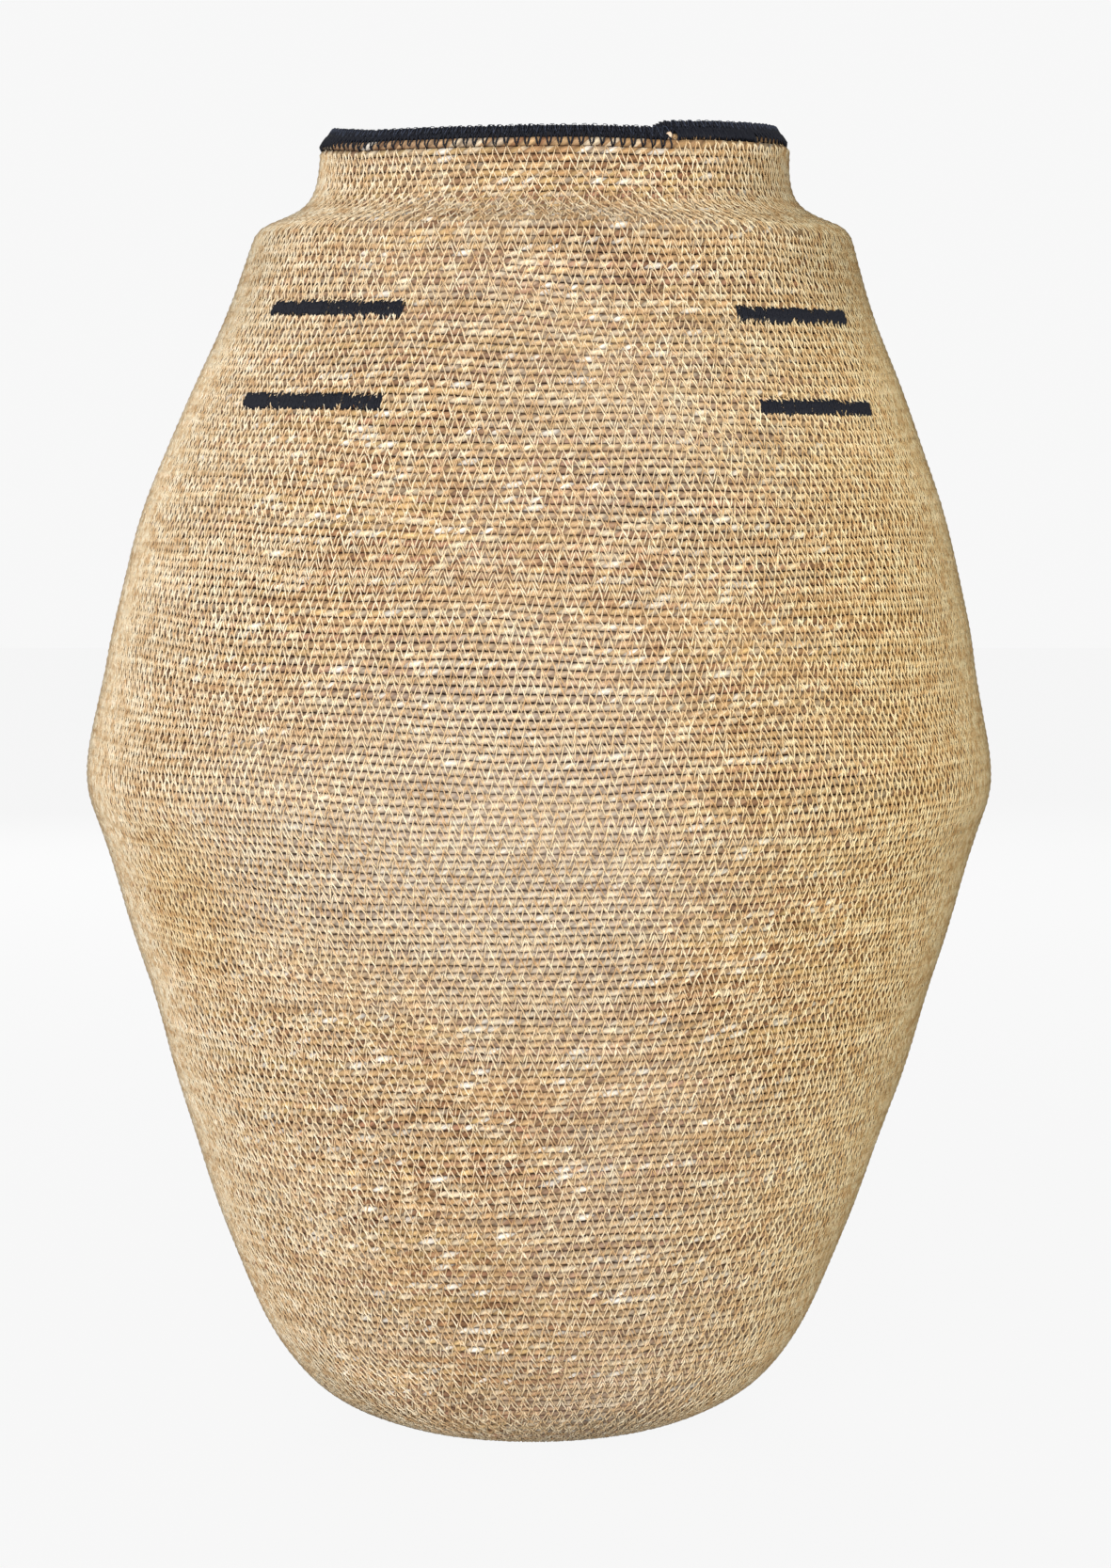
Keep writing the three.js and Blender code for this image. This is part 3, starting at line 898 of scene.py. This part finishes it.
def overcast(start, end, spacing, low, high, reach, seed, inside=False):
    """Black zigzag round the rim; low and high are taken from the black cord's middle."""
    source = np.random.default_rng(seed)
    count = int((end - start) / (spacing / 2))
    knot = np.arange(count + 1)
    travel = start + knot * spacing / 2 + source.normal(0, BLACK_UNEVEN_ALONG, count + 1)
    level = np.where(knot % 2, high, low) + source.normal(0, BLACK_UNEVEN_UP, count + 1)
    quarters = np.array([0, 0.25, 0.5, 0.75])
    proud = np.r_[np.tile(np.array([BLACK_HOLE, reach, reach, reach]), count), BLACK_HOLE]
    return on_rim(legs(travel, quarters), legs(level, quarters), proud, inside)


def dashes(start, end, seed):
    """Machine stitches, grey as a painted highlight: up across the band, a short dash along its top, and
    down again.
    """
    source = np.random.default_rng(seed)
    count = int((end - start) / BLACK_STITCH)
    uneven = source.normal(0, DASH_UNEVEN_ALONG, (count, 1))
    place = start + np.arange(count)[:, None] * BLACK_STITCH + uneven
    travel = (place + np.array([0, 0.9, 1.4, 3.0, 3.5, 4.4]) * MM).ravel()
    level = np.tile(np.array([-4.4, -0.5, 0.95, 1.0, -0.5, -4.4]) * MM, count)
    proud = np.tile(np.array([1.9, 2.36, 2.42, 2.42, 2.36, 1.9]) * MM, count)
    return on_rim(travel, level + source.normal(0, DASH_UNEVEN_UP, len(level)), proud)


# Black sewing: name, start, end, spacing, lowest and highest point, height over the cord's middle,
# and whether it lies on the inside
SEWN = [
    ("thread_rim_foot", RIM_START, RIM_MIDWAY, BLACK_STITCH, -5.5 * MM, 1.2 * MM, 2.3 * MM, False),
    ("thread_rim_lower", RIM_START, RIM_MIDWAY, 2.1 * MM, -1.9 * MM, 1.9 * MM, 1.98 * MM, False),
    ("thread_rim_upper", RIM_MIDWAY, RIM_TIP, 2.0 * MM, -3.2 * MM, 1.7 * MM, 1.98 * MM, False),
    ("thread_rim_inside", RIM_START, RIM_END, 2.6 * MM, -2.7 * MM, 1.6 * MM, 1.98 * MM, True),
]
for number, (name, *stitches, inside) in enumerate(SEWN):
    sewing = overcast(*stitches, RIM_SEED + number, inside)
    finish_piece(thread_piece(name, *sewing, BLACK_THREAD, 4), black, "black_thread", "rim_cord")

# The grey of the dashes' thread is a painted highlight on the machine stitches.
sewing = dashes(RIM_MIDWAY, RIM_END, DASH_SEED)
piece = thread_piece("thread_rim_dashes", *sewing, DASH_THREAD, 3)
finish_piece(piece, grey_highlight_thread, "black_thread", "rim_cord")

# Right of the lap the last plain row runs under dense black stitches
lap_start = RIM_MIDWAY - UNDER_STITCHES * RIM_RADIUS
lap_end = RIM_MIDWAY - CUT_END_BARE
sewing = overcast(lap_start, lap_end, 1.1 * MM, -5.6 * MM, 0.6 * MM, 2.1 * MM, LAP_SEED)
piece = thread_piece("thread_lap", *sewing, BLACK_THREAD, 4)
finish_piece(piece, black, "black_thread", "rim_cord")


def cut_end(rings=5, sides=14, closed=0.96, fibre_run=0.004):
    """The plain cord's pale cut end, a small domed cap that faces along the rim."""
    point, out, up = spiral.frame_at(np.array([spiral.turns]))
    way = np.cross(out[0], up[0])
    angle = TURN * np.arange(sides) / sides
    rows = []
    for k in range(rings):
        share = k / (rings - 1)
        size = math.cos(share * math.pi / 2 * closed)
        dome = CUT_END_DOME * math.sin(share * math.pi / 2)
        rows.append(
            point[0]
            + way * dome
            + out[0] * CUT_END_PROUD
            + size * HALF_THICK * np.cos(angle)[:, None] * out[0]
            + size * HALF_TALL * np.sin(angle)[:, None] * up[0]
        )
    quads, ring, side = tube_quads(rings, sides)
    strand_along = ring[:, None] * fibre_run + np.zeros(4)
    strand_round = side[:, None] / sides + np.zeros(4)
    return make_mesh(
        "cord_cut_end",
        np.vstack(rows),
        quads,
        attributes=[("shade", np.ones(rings * sides))],
        tint=np.tile(PALE, (len(quads), 1)),
        uvs=[
            ("strand", np.stack([strand_along, strand_round], axis=-1)),
            ("OFBake", bake_uv(ring, side, sides)),
        ],
    )


finish_piece(cut_end(), pale, "seagrass_cord", "neck_collar")


# The black bars: satin stitches side by side

# Spacing, radius and lean of the stitches, and how uneven they are; in some runs of them every
# other end or so is drawn in, and the grass shows
BAR_SPACING = 0.62 * MM
BAR_THREAD = 0.36 * MM
BAR_LEAN, BAR_LEAN_UNEVEN = 0.5 * MM, 0.16 * MM
BAR_UNEVEN_ALONG, BAR_UNEVEN_END = 0.10 * MM, 0.5 * MM
THIN_RUN, THIN_OVER = 6, 0.62
DRAWN_IN, DRAWN_SHARE = 2.2 * MM, 0.5

# A stitch's points, as shares of its length and heights over the cord's middle
STITCH_SHARE = np.array([0, 0.16, 0.38, 0.5, 0.62, 0.84, 1.0])
STITCH_RISE = np.array([0.5, 2.15, 2.35, 2.1, 2.35, 2.15, 0.5]) * MM


def bar_piece(name, seed):
    """One thread that goes up and down side by side over a bar's solid."""
    low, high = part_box(name)
    source = np.random.default_rng(seed)
    corners = np.array([v.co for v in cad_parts[name].data.vertices])
    middle_z = (low.z + high.z) / 2
    s = float(outline.at_height(middle_z))
    centre_x = outline.frame_at(np.array([s]), np.array([math.pi / 2]))[0][0, 0]
    azimuths = np.unwrap(np.sort(np.arctan2(corners[:, 1], corners[:, 0] - centre_x)))
    radius = float(np.interp(s, outline.s, outline.radius))
    first, last = azimuths[0], azimuths[-1]
    count = int((last - first) * radius / BAR_SPACING)
    place = np.linspace(first, last, count) + source.normal(0, BAR_UNEVEN_ALONG, count) / radius
    half = (high.z - low.z) / 2
    lean = BAR_LEAN + source.normal(0, BAR_LEAN_UNEVEN, count)
    knots = np.arange(0, count + THIN_RUN, THIN_RUN)
    thin = np.interp(np.arange(count), knots, source.random(len(knots))) > THIN_OVER
    drawn_in = source.uniform(0, DRAWN_IN, (2, count)) * thin * (source.random((2, count)) < DRAWN_SHARE)
    bottom = -half + source.normal(0, BAR_UNEVEN_END, count) + drawn_in[0]
    top = half + source.normal(0, BAR_UNEVEN_END, count) - drawn_in[1]
    rings, normals = [], []
    for k in range(count):
        share = STITCH_SHARE[::-1] if k % 2 == 1 else STITCH_SHARE
        up = bottom[k] + (top[k] - bottom[k]) * share
        azimuth = place[k] + lean[k] * (share - 0.5) / radius
        run = radius * (math.cos(place[k]) - math.cos((first + last) / 2))
        point, out, _ = outline.frame_at(s + up - row_tilt(middle_z) * run, azimuth)
        rings.append(point + out * STITCH_RISE[:, None])
        normals.append(out)
    name = name.replace("bar_", "stitches_")
    return thread_piece(name, np.vstack(rings), np.vstack(normals), BAR_THREAD, 5)


for number, name in enumerate(sorted(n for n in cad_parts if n.startswith("bar_"))):
    finish_piece(bar_piece(name, BAR_SEED + number), black, "black_thread", name)


# Stage, light and camera

# Floor: its side, how far it lies below the basket, its grey, its glow, and the share of the glow
FLOOR_SIDE, FLOOR_DROP = 14, 0.5 * MM
FLOOR_GREY, FLOOR_GLOW, FLOOR_SHARE = 0.4, 0.982, 0.93
GROUND = 0.934
WORLD_LIGHT = 0.16

# Lamps: name, place, size and power; all of them face one point in the basket
LAMPS = [
    ("key", (-0.38, -2.75, 0.8), 1.4, 87),
    ("fill", (1.3, -2.3, 0.4), 0.8, 10),
    ("back", (-0.4, 2.8, 1.3), 1.6, 60),
]
LAMPS_FACE = (0, 0, 0.33)

# Camera: where it stands, how far it looks down, its sensor and its lens in millimetres
CAMERA_PLACE = (0.0074, -2.1, 0.4729)
CAMERA_DOWN = 4.716
SENSOR, LENS = 36, 103.02


def background_seen(nodes, links):
    """1 for the rays that show the background: the camera's, mirrored ones and those through glass."""
    path = node(nodes, "ShaderNodeLightPath").outputs
    seen = path["Is Camera Ray"]
    for other in ("Is Glossy Ray", "Is Transmission Ray"):
        either = node(nodes, "ShaderNodeMath", operation="MAXIMUM")
        links.new(seen, either.inputs[0])
        links.new(path[other], either.inputs[1])
        seen = either.outputs[0]
    return seen


def blended(nodes, links, factor, first, second):
    """A mix of two shaders."""
    blend = node(nodes, "ShaderNodeMixShader")
    links.new(factor, blend.inputs[0])
    links.new(first.outputs[0], blend.inputs[1])
    links.new(second.outputs[0], blend.inputs[2])
    return blend.outputs[0]


def stage_material():
    """Pale floor that reads as the photograph's plain ground and keeps a soft shadow near the basket."""
    material = bpy.data.materials.new("pale floor")
    material.use_nodes = True
    nodes, links = material.node_tree.nodes, material.node_tree.links
    nodes.clear()
    diffuse = node(nodes, "ShaderNodeBsdfDiffuse")
    diffuse.inputs["Color"].default_value = grey(FLOOR_GREY)
    glow = node(nodes, "ShaderNodeEmission")
    glow.inputs["Color"].default_value = grey(FLOOR_GLOW)
    share = node(nodes, "ShaderNodeMath", operation="MULTIPLY")
    share.inputs[1].default_value = FLOOR_SHARE
    links.new(background_seen(nodes, links), share.inputs[0])
    surface = blended(nodes, links, share.outputs[0], diffuse, glow)
    links.new(surface, node(nodes, "ShaderNodeOutputMaterial").inputs["Surface"])
    return material


def studio_world():
    """The photograph's plain ground where it is seen, and a weak even light elsewhere."""
    world = bpy.data.worlds.new("studio")
    world.use_nodes = True
    nodes, links = world.node_tree.nodes, world.node_tree.links
    nodes.clear()
    seen = node(nodes, "ShaderNodeBackground")
    seen.inputs["Color"].default_value = grey(GROUND)
    lit = node(nodes, "ShaderNodeBackground")
    lit.inputs["Color"].default_value = grey(1)
    lit.inputs["Strength"].default_value = WORLD_LIGHT
    surface = blended(nodes, links, background_seen(nodes, links), lit, seen)
    links.new(surface, node(nodes, "ShaderNodeOutputWorld").inputs["Surface"])
    return world


def area_light(name, place, size, power):
    """A soft lamp that faces the middle of the basket."""
    data = bpy.data.lights.new(name, "AREA")
    data.size, data.energy = size, power
    lamp = bpy.data.objects.new(name, data)
    bpy.context.scene.collection.objects.link(lamp)
    lamp.location = place
    lamp.rotation_euler = (Vector(LAMPS_FACE) - Vector(place)).to_track_quat("-Z", "Y").to_euler()


bpy.ops.mesh.primitive_plane_add(size=FLOOR_SIDE, location=(0, 0, -FLOOR_DROP))
floor = bpy.context.object
floor.name = "floor"
floor.data.materials.append(stage_material())

bpy.context.scene.world = studio_world()
for lamp in LAMPS:
    area_light(*lamp)

camera_data = bpy.data.cameras.new("camera")
camera_data.sensor_width = SENSOR
camera_data.lens = LENS
camera = bpy.data.objects.new("camera", camera_data)
bpy.context.scene.collection.objects.link(camera)
camera.location = CAMERA_PLACE
camera.rotation_euler = (math.radians(90 - CAMERA_DOWN), 0, 0)
bpy.context.scene.camera = camera
bpy.context.scene.view_settings.view_transform = "Standard"
